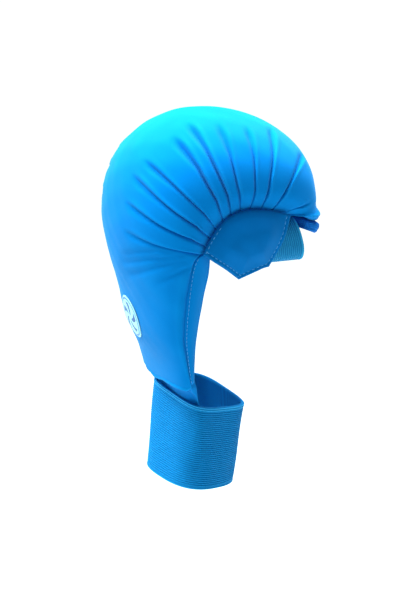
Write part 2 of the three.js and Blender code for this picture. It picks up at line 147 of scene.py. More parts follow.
# The thumb loop: share of the way up, and x where it is sewn on and at its free edge. Then its middle,
# half its width and height, its wall, how far it is tucked under the guard, the power of its section, which
# is 1 for an oval and less for a squarer one, and the width of a rib.
LOOP_ROWS = np.array([(0, 34.5, 61.5), (0.35, 38.6, 60.5), (0.7, 43.4, 57.6), (1, 46.5, 54.5)])
LOOP_MID_Y, LOOP_MID_Z, LOOP_HALF_Y, LOOP_HALF_Z = -34, 147.7, 14.6, 16.2
LOOP_WALL, LOOP_TUCK, LOOP_POWER, LOOP_RIB = 1.6, 3.2, 0.75, 1.45

# The finger sleeve: share of the way out, the shell's section there, how far below that section, how far its
# middle is from the rim, half its height and half its width.
SLEEVE_ROWS = np.array([
    (0, 396, 0, 13, 7.6, 36), (0.22, 402, 0, 14, 8.5, 37), (0.36, 403.5, 1.8, 15.5, 11.5, 42),
    (0.46, 404.5, 3, 17.4, 13.8, 44.6), (0.62, 407, 4.4, 18.2, 14.1, 45.2),
    (0.85, 411, 6, 18.5, 13.2, 44.6), (1, 413, 7, 18.2, 12.1, 43.2),
])
# Its wall, the power of its section, and by what share its two ends are raised.
SLEEVE_WALL, SLEEVE_POWER, SLEEVE_RAISED = 1.6, 0.9, 0.25

# The cuff's size, wall and rib, then x of its middle at z = 0, its lean towards the palm for every mm up,
# and z of its lower edge.
CUFF_HEIGHT, CUFF_HALF_X, CUFF_HALF_Y, CUFF_WALL, CUFF_RIB = 60, 29, 33, 1.8, 1.5
CUFF_MIDDLE_X, CUFF_LEAN, CUFF_LOW = 0.5, 0.12, -25.5
CUFF_TURN = math.radians(18)
# Each pair holds for the cuff's lower and its upper edge. The tilts say how much an edge drops for every mm
# towards the palm and towards the thumb side.
CUFF_TILT_X, CUFF_TILT_Y = (0.14, 0.22), (0.05, 0.1)
# The power of its section, and how much the worn elastic is opened.
CUFF_SQUARE, CUFF_OPEN = (0.76, 0.52), (1.035, 1.085)

# The badge: way along, y, radius, height of its underside over the cover, and thickness.
BADGE_AT, BADGE_Y, BADGE_RADIUS, BADGE_LIFT, BADGE_THICK = 87, 4, 15.5, 0.25, 0.5


# Forms
def smooth(x, low, high):
    u = np.clip((x - low) / (high - low), 0, 1)
    return u * u * (3 - 2 * u)


def bell(x, middle, width):
    """A soft bump of height 1."""
    return np.exp(-(((x - middle) / width) ** 2))


def round_over(x, radius):
    """The height of a rounded edge, from 0 at the edge to 1 a radius away from it."""
    return np.sqrt(1 - (1 - np.clip(x / radius, 0, 1)) ** 2)


def run_lengths(line):
    """How far along a line of points each of them lies."""
    return np.concatenate(([0], np.cumsum(np.linalg.norm(np.diff(line, axis=0), axis=1))))


def between(places, stations, points):
    """Points at some places along a line whose own points lie at the stations."""
    return np.stack([np.interp(places, stations, column) for column in points.T], -1)


def along(rows, column, at):
    """A value between the rows of a table, on a cubic through its neighbours."""
    stations, values = rows[:, 0], rows[:, column]
    gap = np.diff(stations)
    slope = np.diff(values) / gap
    inner = (slope[:-1] * gap[1:] + slope[1:] * gap[:-1]) / (gap[:-1] + gap[1:])
    tangent = np.concatenate(([slope[0]], inner, [slope[-1]]))
    i = np.clip(np.searchsorted(stations, at, side="left") - 1, 0, len(gap) - 1)
    u = (at - stations[i]) / gap[i]
    rise = values[i] * (1 + 2 * u) * (1 - u) ** 2 + values[i + 1] * (3 - 2 * u) * u**2
    return rise + gap[i] * (tangent[i] * u * (1 - u) ** 2 - tangent[i + 1] * (1 - u) * u**2)


def section_at(at):
    """The shell's section, by the names of its columns, at some ways along."""
    return {name: along(SHELL_ROWS, k, at) for k, name in enumerate(SHELL_COLUMNS)}


def lining_section(at):
    """The same section for the lining, further in by the foam's thickness."""
    s = section_at(at)
    keep = 1 - s["foam"] / np.hypot(s["crown_x"] - s["rim_x"], s["crown_z"] - s["rim_z"])
    return {
        **s,
        "crown_x": s["rim_x"] + (s["crown_x"] - s["rim_x"]) * keep,
        "crown_z": s["rim_z"] + (s["crown_z"] - s["rim_z"]) * keep,
        "rim_half": s["rim_half"] - s["foam"] * RIM_FOAM_SHARE,
        "max_half": s["max_half"] - s["foam"] * SIDE_FOAM_SHARE,
    }


def on_arch(s, way):
    """A point on the arch of a section. way goes from 0 at the thumb side's rim over 1 at the crown to 2."""
    t = 1 - np.abs(1 - way)
    low = np.clip(t / WIDEST_T, 0, 1)
    u = np.clip((t - WIDEST_T) / (1 - WIDEST_T), 0, 1)
    v = 1 - u
    climb = 3 * v * v * u * s["full"] + 3 * v * u * u + u**3
    narrow = v**3 + 3 * v * v * u + 3 * v * u * u * s["full"]
    below = t < WIDEST_T
    share = np.where(below, s["max_at"] * low, s["max_at"] + (1 - s["max_at"]) * climb)
    rising = s["rim_half"] + (s["max_half"] - s["rim_half"]) * np.sin(low * math.pi / 2)
    half = np.where(below, rising, s["max_half"] * narrow) * np.where(way > 1, 1, -1)
    x = s["rim_x"] + (s["crown_x"] - s["rim_x"]) * share
    z = s["rim_z"] + (s["crown_z"] - s["rim_z"]) * share
    return np.stack([x, half, z], -1)


def cover_base(at, way):
    return on_arch(section_at(at), way)


def unit(v):
    return v / np.maximum(np.linalg.norm(v, axis=-1, keepdims=True), 1e-9)


def cover_normal(at, way):
    a = np.clip(at, 0.5, SHELL_ROWS[-1, 0] - 0.5)
    w = np.clip(way, 0.01, 1.99)
    across = cover_base(a, w + 0.01) - cover_base(a, w - 0.01)
    forward = cover_base(a + 0.5, w) - cover_base(a - 0.5, w)
    return unit(np.cross(forward, across))


def off_cover(at, way, height):
    return cover_base(at, way) + cover_normal(at, way) * np.asarray(height)[..., None]


def fold_depth(at, t, thumb_side):
    """How deep the gathers, slack creases and seams press the cover in, and how far the puffs rise."""
    depth = np.zeros(np.broadcast(at, t).shape)
    for path, deep, wide in GATHERS:
        path = np.array(path)
        tip = path[-1, 0]
        away = at - np.interp(t, path[:, 0], path[:, 1])
        # One side slopes in slowly, the other stands up in a thin bright wall that widens at the tip.
        tip_share = smooth(t, tip - 0.3, tip - 0.06)
        reach = wide * np.where(away < 0, 0.8 + 0.2 * tip_share, 0.24 + 0.3 * tip_share)
        q = np.clip(1 - np.abs(away) / reach, 0, 1)
        sharp, soft = q**1.9, q * q * (3 - 2 * q)
        valley = np.where(away < 0, sharp + (soft - sharp) * tip_share * 0.8, soft)
        strength = (0.34 + 0.66 * smooth(t, 0, 0.4)) * smooth(tip - t, 0, 0.1)
        ridge = 0.2 * bell(away, 1.5 * reach, 0.3 * wide) * smooth(t, 0.05, 0.4) * (away > 0)
        depth += deep * strength * (valley - ridge)
    for path, deep, wide in SLACK:
        path = np.array(path)
        start, tip = path[0, 0], path[-1, 0]
        away = at - np.interp(t, path[:, 0], path[:, 1])
        ends = smooth(t, start - 0.08, start + 0.1) * (1 - smooth(t, tip - 0.12, tip + 0.06))
        depth += thumb_side * deep * ends * np.exp(-((away / wide) ** 2) * 2.5)
    # The cover dips at the side seam and puffs up beside it.
    seam_t = np.interp(at, SIDE_SEAM[:, 0], SIDE_SEAM[:, 1])
    on_seam = smooth(at, 38, 46) * (1 - smooth(at, 147, 152))
    depth += on_seam * 1.5 * (1 - smooth(t, seam_t - 0.012, seam_t + 0.03))
    depth -= on_seam * 0.35 * bell(t - seam_t, 0.06, 0.035)
    depth += smooth(at, HEM_TURN, COVER_END) - 0.9 * bell(at, HEM_CREST, 1.5)
    return depth


def tail_depth(at, t, ways):
    """How deep the cover lies under the fold above the cuff. The far side folds less."""
    below = np.interp(t, CUFF_FOLD[:, 0], CUFF_FOLD[:, 1]) - at
    turned_in = FOLD_DEEP * smooth(below, -0.4, 0.6) + FOLD_CREASE * bell(below, 0.6, 0.6)
    turned_in -= FOLD_PUFF * (1 - 0.6 * smooth(t, 0.65, 0.9)) * bell(below, -1.5, 1.3)
    far_side = np.where(ways > 1, 1 - 0.8 * smooth(ways, 1, 1.22), 1)
    return turned_in * smooth(t, 0.32, 0.5) * far_side


def slow_ripple(p):
    """Foam never lies quite even: waves of about 15 to 40 mm."""
    x, y, z = p[..., 0], p[..., 1], p[..., 2]
    return (
        0.22 * np.sin(0.17 * x + 0.11 * z + 1.3) * np.sin(0.15 * y - 0.09 * z)
        + 0.12 * np.sin(0.33 * y + 0.21 * x + 0.4) * np.sin(0.29 * z - 0.13 * y + 2.0)
    )


# Mesh helpers
def formed_grid(name, points, inner_face=None, fold=None):
    """A grid moved onto points, rows by columns by 3, in mm. Rows and ends that meet are merged.

    inner_face(row, column) says which faces take the second material. fold, a number for each point, stays
    on the mesh as an attribute that the materials read, chiefly to paint shade into folds and grooves.
    """
    rows, columns = points.shape[0] - 1, points.shape[1] - 1
    bm = bmesh.new()
    bmesh.ops.create_grid(bm, x_segments=columns, y_segments=rows, size=1)
    uv_layer = bm.loops.layers.uv.new("UVMap")
    fold_layer = bm.verts.layers.float.new("fold")
    spot = {}
    for v in bm.verts:
        i, j = round((v.co.y + 1) / 2 * rows), round((v.co.x + 1) / 2 * columns)
        spot[v] = (i, j)
        v.co = Vector(points[i, j]) * MM
        v[fold_layer] = 0.0 if fold is None else float(fold[i, j])
    for face in bm.faces:
        for loop in face.loops:
            i, j = spot[loop.vert]
            loop[uv_layer].uv = (i / rows, j / columns)
        if inner_face is not None:
            i = min(spot[v][0] for v in face.verts)
            j = min(spot[v][1] for v in face.verts)
            face.material_index = int(inner_face(i, j))
        face.smooth = True
    bmesh.ops.remove_doubles(bm, verts=bm.verts, dist=2e-6)
    bmesh.ops.recalc_face_normals(bm, faces=bm.faces)
    return finished(name, bm)


def finished(name, bm):
    mesh = bpy.data.meshes.new(name)
    bm.to_mesh(mesh)
    bm.free()
    obj = bpy.data.objects.new(name, mesh)
    bpy.context.scene.collection.objects.link(obj)
    return obj


def wall_ring(outer, inner):
    """The closed section of a wall: along its outer face and back along its inner one."""
    return np.concatenate([outer, inner[:, ::-1], outer[:, :1]], 1)


def stitch_row(bm, line, normals, pitch, length, radius):
    """Lays short round threads along a line of points in mm."""
    steps = run_lengths(line)
    for k in range(int((steps[-1] - length) / pitch) + 1):
        middle = k * pitch + length / 2
        start, centre, end = (between(middle + d, steps, line) for d in (-length / 2, 0, length / 2))
        run = unit(end - start)
        side = unit(np.cross(run, unit(between(middle, steps, normals))))
        up = np.cross(side, run)
        place = np.eye(4)
        place[:3, 0], place[:3, 1], place[:3, 2] = side * radius, up * radius * THREAD_FLAT, run * length / 2
        place[:3, 3] = centre + up * (radius * THREAD_FLAT - THREAD_SINK)
        place[:3] *= MM
        bmesh.ops.create_uvsphere(bm, u_segments=8, v_segments=6, radius=1, matrix=Matrix(place.tolist()))


def thread_piece(name, rows):
    bm = bmesh.new()
    for row in rows:
        stitch_row(bm, **row)
    for face in bm.faces:
        face.smooth = True
    bmesh.ops.recalc_face_normals(bm, faces=bm.faces)
    return finished(name, bm)


# Padded cover

# Rows of the grid on both sides of a gather's floor, closer together where it is steep.
GATHER_STEPS = np.array([
    -5, -4, -3.1, -2.4, -1.8, -1.3, -0.9, -0.5, -0.2, 0, 0.2, 0.4, 0.65, 0.95, 1.3, 1.7, 2.3, 3, 4,
])
# The least and the most room between two rows.
LEAST_STEP, MOST_STEP = 0.18, 1.3
# Steps round each rim between cover and lining, and round each end of the wall.
RIM_STEPS, CAP_STEPS = 7, 6
# A fold this deep gets the full painted shade.
SHADED_DEPTH = 4


def cover_stations():
    """Stations of the grid's rows: close together at every gather and at the fold above the cuff."""
    marks = [np.linspace(32, 46, 29), np.linspace(390, COVER_END, 14), [0, COVER_END]]
    marks += [path[0][1] + GATHER_STEPS for path, _, _ in GATHERS]
    marks = np.sort(np.concatenate(marks))
    kept = [marks[0]]
    for mark in marks[1:]:
        step = mark - kept[-1]
        if step >= LEAST_STEP:
            kept.extend(np.linspace(kept[-1], mark, math.ceil(step / MOST_STEP) + 1)[1:])
    return np.array(kept)


def row_lines(stations, t):
    """Ways along, at which the rows that start at some stations run, so that they follow the gathers."""
    fixed = [0, 120, 394, COVER_END]
    starts = [*fixed[:2], *(path[0][1] for path, _, _ in GATHERS), *fixed[2:]]
    at = np.zeros((len(stations), len(t)))
    for k, here in enumerate(t):
        lines = (np.interp(here, *np.array(path).T) for path, _, _ in GATHERS)
        at[:, k] = np.interp(stations, starts, [*fixed[:2], *lines, *fixed[2:]])
    return at


def arch_ways(lower, upper):
    """Ways across the arch: lower steps up each side to where it is widest, upper ones on to the crown."""
    side = np.linspace(0, WIDEST_T, lower, endpoint=False)
    near = np.concatenate([side, np.linspace(WIDEST_T, 1, upper + 1)])
    return np.concatenate([near, 2 - near[-2::-1]])


def around(values):
    """Values for the arch's columns, laid out for a ring: over the arch, round a rim, back, round a rim."""
    rims = [np.repeat(end, RIM_STEPS, 1) for end in (values[:, -1:], values[:, :1])]
    return np.concatenate([values, rims[0], values[:, ::-1], rims[1], values[:, :1]], 1)


def padded_cover():
    """The cover and its lining as one closed wall, with round rims and round ends."""
    stations = cover_stations()
    ways = arch_ways(24, 50)[None, :]
    t = 1 - np.abs(1 - ways)
    at = row_lines(stations, t[0])
    base, normal = cover_base(at, ways), cover_normal(at, ways)
    tail = tail_depth(at, t, ways)
    depth = fold_depth(at, t, (ways < 1) * 1.0) + tail
    depth = depth - slow_ripple(base) * smooth(at, 45, 90)
    outer = tucked(base + normal * -depth[..., None], t, 0)
    inner = tucked(on_arch(lining_section(at), ways) - normal * tail[..., None], t, TAIL_LINING_INSET)
    rim_way = unit(unit(cover_base(stations, 0.0) - cover_base(stations, 1.0)) * np.array([1, 0, 1]))

    def rim(k, backwards):
        """Points round the rim between column k of the lining and of the cover."""
        middle, arm = (inner[:, k] + outer[:, k]) / 2, (outer[:, k] - inner[:, k]) / 2
        bow = rim_way * (np.linalg.norm(arm, axis=-1, keepdims=True) * 0.8)
        turns = np.linspace(0, math.pi, RIM_STEPS + 2)[1:-1]
        turns = turns[::-1] if backwards else turns
        return np.stack([middle - arm * math.cos(turn) + bow * math.sin(turn) for turn in turns], 1)

    ring = np.concatenate([outer, rim(-1, True), inner[:, ::-1], rim(0, False), outer[:, :1]], 1)
    halfway = (outer + inner) / 2
    middle = around(halfway)
    thickness = around(np.linalg.norm(outer - inner, axis=-1, keepdims=True))
    caps = []
    for row, next_row in ((0, 1), (-1, -2)):
        forward = around(unit(halfway[row] - halfway[next_row])[None])[0]
        arm, bow = ring[row] - middle[row], forward * thickness[row] / 2
        turns = [k / CAP_STEPS * math.pi / 2 for k in range(1, CAP_STEPS + 1)]
        caps.append(np.array([middle[row] + arm * math.cos(turn) + bow * math.sin(turn) for turn in turns]))
    points = np.concatenate([caps[0][::-1], ring, caps[1]], 0)
    # The fold attribute carries the painted shade of the gathers, creases and tail. The turned-in tail is
    # counted twice, so it gets more painted shade than the gathers do.
    shade = np.pad(depth + tail, ((0, 0), (0, points.shape[1] - depth.shape[1])))
    shade = np.pad(shade, ((CAP_STEPS, CAP_STEPS), (0, 0)), mode="edge")
    # The lining starts a few faces in from each rim.
    lining_from, lining_to = ways.shape[1] + RIM_STEPS + 4, ways.shape[1] * 2 + RIM_STEPS - 5

    def inside(row, column):
        return lining_from <= column <= lining_to

    return formed_grid("mitt_cover", points, inside, np.clip(shade / SHADED_DEPTH, -0.5, 1))


def tucked(points, t, inset):
    """Points of the tail, laid along the inside of the cuff where they lie in it."""
    x, y, z = points[..., 0], points[..., 1], points[..., 2]
    c, s = math.cos(CUFF_TURN), math.sin(CUFF_TURN)
    dx, dy = x - CUFF_MIDDLE_X - CUFF_LEAN * z, y * CUFF_HALF_X / CUFF_HALF_Y
    a, b = dx * c + dy * s, dy * c - dx * s
    above = z - cuff_height(dx, y, 1)
    share = 1 + above / CUFF_HEIGHT
    power = 2 / cuff_blend(CUFF_SQUARE, share)
    out = (np.abs(a) ** power + np.abs(b) ** power) ** (1 / power)
    fit = (cuff_half(share) - CUFF_WALL - TAIL_CLEARANCE - inset) / out
    fit = np.minimum(1, fit) + np.maximum(0, fit - 1) * smooth(t, 0.25, 0.5)
    keep = 1 + (fit - 1) * (1 - smooth(above, -0.5, 2.2))
    return np.stack([x + dx * (keep - 1), y * keep, z], -1)


def side_gusset(name, sign):
    """The strip of cover that closes the side of the back pad, up to its seam."""
    stations = np.linspace(40, 151.5, 100)[:, None]
    seam_t = np.interp(stations, SIDE_SEAM[:, 0], SIDE_SEAM[:, 1])
    share = np.linspace(0, 1, 25)[None, :]
    t = 0.02 + (seam_t - 0.02) * share
    way = t if sign < 0 else 2 - t
    round_seam = round_over((1 - share) * GUSSET_WIDTH, 2.2)
    round_rim = round_over(share * GUSSET_WIDTH, 1.0)
    ends = np.minimum(smooth(stations, 42, 47), 1 - smooth(stations, 147, 151))
    puff = 0.25 * np.sin(math.pi * share) ** 2
    top = off_cover(stations, way, GUSSET_FOOT + (GUSSET_THICK * round_seam * round_rim + puff) * ends)
    under = off_cover(stations, way, GUSSET_FOOT - 0.02)
    middle = (top + under) / 2
    wall, closing = wall_ring(top, under), wall_ring(middle, middle)
    return formed_grid(name, np.concatenate([closing[:1], wall, closing[-1:]], 0))


def side_seam_line(sign, shift):
    """Points on the gusset, shift in t below its seam."""
    at = np.linspace(46, 145, 120)
    t = np.interp(at, SIDE_SEAM[:, 0], SIDE_SEAM[:, 1]) - shift
    way = t if sign < 0 else 2 - t
    return off_cover(at, way, 0.2), cover_normal(at, way)


# Thumb guard
def edge_curve(pairs):
    """A centripetal spline through x and z pairs, as evenly spaced points."""
    p = np.array(pairs, float)
    p = np.vstack([2 * p[0] - p[1], p, 2 * p[-1] - p[-2]])
    shares = np.linspace(0, 1, 40, endpoint=False)
    drawn = []
    for k in range(1, len(p) - 2):
        x0, x1, x2, x3 = p[k - 1 : k + 3]
        d0, d1, d2 = (math.sqrt(np.linalg.norm(b - a)) for a, b in ((x0, x1), (x1, x2), (x2, x3)))
        t1 = ((x1 - x0) / d0 - (x2 - x0) / (d0 + d1) + (x2 - x1) / d1) * d1
        t2 = ((x2 - x1) / d1 - (x3 - x1) / (d1 + d2) + (x3 - x2) / d2) * d1
        square, cube = -3 * x1 + 3 * x2 - 2 * t1 - t2, 2 * x1 - 2 * x2 + t1 + t2
        drawn += [x1 + t1 * u + square * u**2 + cube * u**3 for u in shares]
    drawn = np.array([*drawn, p[-2]])
    steps = run_lengths(drawn)
    return between(np.linspace(0, steps[-1], 241), steps, drawn)


GUARD_CURVES = {name: edge_curve(pairs) for name, pairs in GUARD_EDGES.items()}


def on_edge(name, share):
    curve = GUARD_CURVES[name]
    return between(share * (len(curve) - 1), np.arange(len(curve)), curve)


def guard_patch(u, v):
    """x and z between the four edges."""
    a, b, c, d = (GUARD_CURVES[n][k] for n, k in (("arc", 0), ("arc", -1), ("bottom", -1), ("bottom", 0)))
    u1, v1 = u[..., None], v[..., None]
    p = on_edge("arc", u) * (1 - v1) + on_edge("bottom", u) * v1
    p = p + on_edge("left", v) * (1 - u1) + on_edge("right", v) * u1
    return p - a * (1 - u1) * (1 - v1) - b * u1 * (1 - v1) - c * u1 * v1 - d * (1 - u1) * v1


def edge_distance(p, name):
    curve = GUARD_CURVES[name]
    return np.sqrt(((p[..., None, :] - curve) ** 2).sum(-1)).min(-1)


def guard_surface(u, v, outside=True):
    """Points of the guard's outer or inner face, and how deep its stitched groove is at each."""
    p = guard_patch(u, v)
    d = {name: edge_distance(p, name) for name in GUARD_CURVES}
    free = np.minimum(np.minimum(d["left"], d["bottom"]), d["right"])
    roundness = round_over(np.minimum(free, d["arc"] * 0.55), 1.1)
    swell = (smooth(d["arc"], -2, 15) * 0.85 + 0.15) * smooth(d["arc"], -1.5, 5)
    swell = swell * smooth(free, STITCH_IN - 1.0, STITCH_IN + 13)
    middle = np.sqrt(np.sin(math.pi * u) * np.sin(math.pi * v) + 1e-9)
    y = GUARD_ARC_Y + (GUARD_BOTTOM_Y - GUARD_ARC_Y) * smooth(v, 0.3, 1) - GUARD_HOLLOW * middle
    y = y + GUARD_TO_LOOP * smooth(u, 0.55, 1)
    groove = 0 * y
    if outside:
        groove = bell(free, STITCH_IN, 0.8) * smooth(d["arc"], 0, 3)
        y = y - GUARD_EDGE / 2 * (1 + roundness) - GUARD_SWELL * swell + 0.45 * groove
        y = y - 0.18 * np.sin(0.35 * p[..., 0] + 0.3 * p[..., 1]) * swell
    else:
        y = y - GUARD_EDGE / 2 * (1 - roundness)
    return np.stack([p[..., 0], y, p[..., 1]], -1), groove


def eased(count):
    """Shares from 0 to 1 that lie closer together near both ends."""
    blend = 0.55
    turned = 0.5 - 0.5 * np.cos(np.linspace(0, math.pi, count))
    return turned * blend + np.linspace(0, 1, count) * (1 - blend)


def thumb_guard():
    """The padded panel over the thumb, a crowned face and a plain lining that meet at its edges."""
    u, v = np.broadcast_arrays(eased(131)[:, None], eased(91)[None, :])
    front, groove = guard_surface(u, v, True)
    rear, _ = guard_surface(u, v, False)
    for edge in (np.s_[0], np.s_[-1], np.s_[:, 0], np.s_[:, -1]):
        rear[edge] = front[edge]
    points = np.concatenate([front, rear[:, ::-1][:, 1:]], 1)
    shade = np.concatenate([groove * 0.35, 0 * groove[:, 1:]], 1)
    return formed_grid("thumb_guard_panel", points, lambda row, column: column >= front.shape[1] - 1, shade)


def guard_line(edge, low, high, inset):
    """A stitch line at a fixed way in from one edge of the guard, and the face's normals along it."""
    s = np.linspace(low, high, 90)

    def in_from_edge(share):
        ways = {"left": (share, s), "right": (1 - share, s), "bottom": (s, 1 - share), "arc": (s, share)}
        return ways[edge]

    share = np.zeros_like(s)
    # Each try moves the line by what is missing, as a share of the guard's 70 mm.
    for _ in range(40):
        missing = inset - edge_distance(guard_patch(*in_from_edge(share)), edge)
        share = np.clip(share + missing / 70, 0, 0.5)
    u, v = in_from_edge(share)
    du = guard_surface(u + 0.01, v)[0] - guard_surface(u - 0.01, v)[0]
    dv = guard_surface(u, v + 0.01)[0] - guard_surface(u, v - 0.01)[0]
    normal = unit(np.cross(du, dv))
    return guard_surface(u, v)[0], normal * np.where(normal[:, 1:2] > 0, -1, 1)


# Elastic, lining and badge
def squared(value, power):
    return np.sign(value) * np.abs(value) ** power


def thumb_loop():
    """The ribbed elastic around the thumb. Its ribs run parallel to the free edge."""
    angle = np.linspace(0, 2 * math.pi, 181)[:, None]
    out = np.linspace(0, 1, 131)[None, :]

    def wall(inset, ribs):
        y = (LOOP_HALF_Y - inset) * squared(np.cos(angle), LOOP_POWER)
        z = (LOOP_HALF_Z - inset) * squared(np.sin(angle), LOOP_POWER)
        up = (z + LOOP_HALF_Z) / (2 * LOOP_HALF_Z)
        sewn = along(LOOP_ROWS, 1, up) - LOOP_TUCK
        free = along(LOOP_ROWS, 2, up)
        x = sewn + (free - sewn) * out
        from_edge = free - x
        rib = np.cos(2 * math.pi * from_edge / LOOP_RIB) * smooth(from_edge, 1.0, 2.0)
        cord = bell(from_edge, 0.7, 0.5)
        widen = 1 + ribs * (0.15 * rib + 0.22 * cord) / np.hypot(y, z)
        place = np.stack([x, LOOP_MID_Y + y * widen, LOOP_MID_Z + z * widen], -1)
        # The rib height goes out as the tone, from which the elastic paints shade into its grooves.
        return place, 0.5 + 0.5 * rib + cord

    (outer, tone), (inner, _) = wall(0.15, 1.0), wall(LOOP_WALL, 0.0)
    points = wall_ring(outer, inner)
    points[-1] = points[0]
    return formed_grid("thumb_loop_elastic", points, None, wall_ring(tone, tone))


def finger_sleeve():
    """The lining tube around the fingertips, with its turned hem."""
    angle = np.linspace(0, 2 * math.pi, 241)[:, None]
    share = np.linspace(0, 1, 49)[None, :]

    def wall(inset, bead):
        s = section_at(along(SLEEVE_ROWS, 1, share))
        up = np.concatenate([s["crown_x"] - s["rim_x"], s["crown_z"] - s["rim_z"]], 0).T
        up = up / np.linalg.norm(up, axis=1, keepdims=True)
        half_y, half = along(SLEEVE_ROWS, 5, share), along(SLEEVE_ROWS, 4, share)
        hem = bead * (0.3 * bell(share, 0.93, 0.045) - 0.3 * bell(share, 0.84, 0.02))
        ripple = bead * 0.16 * np.sin(angle * 23 + 3 * np.sin(angle * 5)) * smooth(share, 0.35, 0.8)
        y = (half_y - inset + hem + ripple) * squared(np.cos(angle), SLEEVE_POWER)
        a = (half - inset + hem + ripple) * squared(np.sin(angle), SLEEVE_POWER)
        below = along(SLEEVE_ROWS, 2, share) * (1 - SLEEVE_RAISED * (y / half_y) ** 2)
        rise = along(SLEEVE_ROWS, 3, share) + a
        x = s["rim_x"] + rise * up[None, :, 0] + below * up[None, :, 1]
        z = s["rim_z"] + rise * up[None, :, 1] - below * up[None, :, 0]
        return np.stack([x, y, z], -1)

    points = wall_ring(wall(0.0, 1.0), wall(SLEEVE_WALL, 0.0))
    points[-1] = points[0]
    return formed_grid("fingertip_lining", points)


def cuff_blend(pair, share):
    """A value between the cuff's lower and upper edge."""
    return pair[0] + (pair[1] - pair[0]) * np.clip(share, 0, 1)


def cuff_height(x, y, share):
    tilt_x, tilt_y = cuff_blend(CUFF_TILT_X, share), cuff_blend(CUFF_TILT_Y, share)
    return CUFF_LOW + CUFF_HEIGHT * share - x * tilt_x + y * tilt_y


def cuff_half(share):
    """Half of the section's width between its flats. The worn elastic opens a little towards the top."""
    squareness = 2 ** ((cuff_blend(CUFF_SQUARE, share) - 1) / 2)
    return CUFF_HALF_X * squareness * cuff_blend(CUFF_OPEN, share)


def cuff_point(angle, inset, share):
    """A point on the cuff, whose section is a soft square turned with the flats of the wrist."""
    square = cuff_blend(CUFF_SQUARE, share)
    h = cuff_half(share) - inset
    a, b = h * squared(np.cos(angle), square), h * squared(np.sin(angle), square)
    x = a * math.cos(CUFF_TURN) - b * math.sin(CUFF_TURN)
    y = (a * math.sin(CUFF_TURN) + b * math.cos(CUFF_TURN)) * CUFF_HALF_Y / CUFF_HALF_X
    z = cuff_height(x, y, share)
    return np.stack([x + CUFF_MIDDLE_X + CUFF_LEAN * z, y, z], -1)


def wrist_cuff():
    """The wide elastic band. Its ribs follow its edges, and each edge ends in a smooth corded selvage."""
    angle = np.linspace(0, 2 * math.pi, 289)[:, None]
    up = np.linspace(0, CUFF_HEIGHT, 241)[None, :]
    from_edge = np.minimum(up, CUFF_HEIGHT - up)
    ribs = np.cos(2 * math.pi * (up - 3) / CUFF_RIB) * smooth(from_edge, 2.4, 3.2)
    # The upper edge has two cords, and the lower edge has one.
    cords = bell(from_edge, 0.6, 0.34) + bell(from_edge, 2, 0.34) * (up > CUFF_HEIGHT / 2)
    edge_round = 0.7 * (1 - round_over(from_edge, 0.8))
    wave = 0.25 * np.sin(angle * 7 + 1.0) * np.sin(up / 9.0)
    relief = 0.17 * ribs + 0.3 * cords - edge_round + wave - 0.1
    outer = cuff_point(angle, -relief, up / CUFF_HEIGHT)
    # The ribs' height, from which the elastic paints shade into its grooves.
    tone = 0.5 + 0.5 * ribs + cords + 0 * angle
    inner_share = np.linspace(0, 1, 25)[None, :]
    inner_from_edge = np.minimum(inner_share, 1 - inner_share) * CUFF_HEIGHT
    inner = cuff_point(angle, CUFF_WALL - 0.25 * (1 - round_over(inner_from_edge, 2.5)), inner_share)
    points = wall_ring(outer, inner)
    points[-1] = points[0]
    return formed_grid("wrist_cuff_elastic", points, None, wall_ring(tone, np.full(inner.shape[:2], 0.4)))


def back_badge():
    """A round of printed film on the back of the hand, built as rings of points about its middle."""
    turns = np.linspace(0, 2 * math.pi, 97)[:, None]
    radii = np.linspace(0, 1, 25)[None, :]
    across = BADGE_Y + BADGE_RADIUS * radii * np.sin(turns)
    at = BADGE_AT - BADGE_RADIUS * radii * np.cos(turns)
    ways = np.linspace(0.4, 1.6, 600)
    way = np.zeros_like(at)
    for k in np.ndindex(at.shape):
        way[k] = np.interp(across[k], cover_base(np.full_like(ways, at[k]), ways)[:, 1], ways)
    top = off_cover(at, way, BADGE_LIFT + BADGE_THICK * np.sqrt(np.clip((1 - radii) / 0.05, 0, 1)))
    under = off_cover(at, way, BADGE_LIFT)
    points = np.concatenate([top, under[:, ::-1][:, 1:]], 1)
    points[-1] = points[0]
    return formed_grid("back_badge_film", points)


# Materials
def srgb(text):
    """A hex colour as linear red, green, blue and 1."""
    parts = [int(text[k : k + 2], 16) / 255 for k in (1, 3, 5)]
    return (*(c / 12.92 if c <= 0.04045 else ((c + 0.055) / 1.055) ** 2.4 for c in parts), 1.0)


def node(tree, kind, inputs=None, **settings):
    """Adds a node with its settings, and gives each input a value or a link from another node's output.

    In a Mix node of colours, input 0 is the share, 6 and 7 are the two colours, and output 2 is the result.
    """
    made = tree.nodes.new("ShaderNode" + kind)
    for name, value in settings.items():
        setattr(made, name, value)
    for key, value in (inputs or {}).items():
        if isinstance(value, bpy.types.NodeSocket):
            tree.links.new(value, made.inputs[key])
        else:
            made.inputs[key].default_value = value
    return made


def new_material(name):
    made = bpy.data.materials.new(name)
    made.use_nodes = True
    made.node_tree.nodes.clear()
    return made, made.node_tree


def cell_scale(size_mm):
    """The Scale that gives a noise or cell texture features of this size."""
    return 1 / (size_mm * MM)


def band_scale(size_mm):
    """The Scale that gives a wave texture bands of this width."""
    return math.pi / 10 / (size_mm * MM)
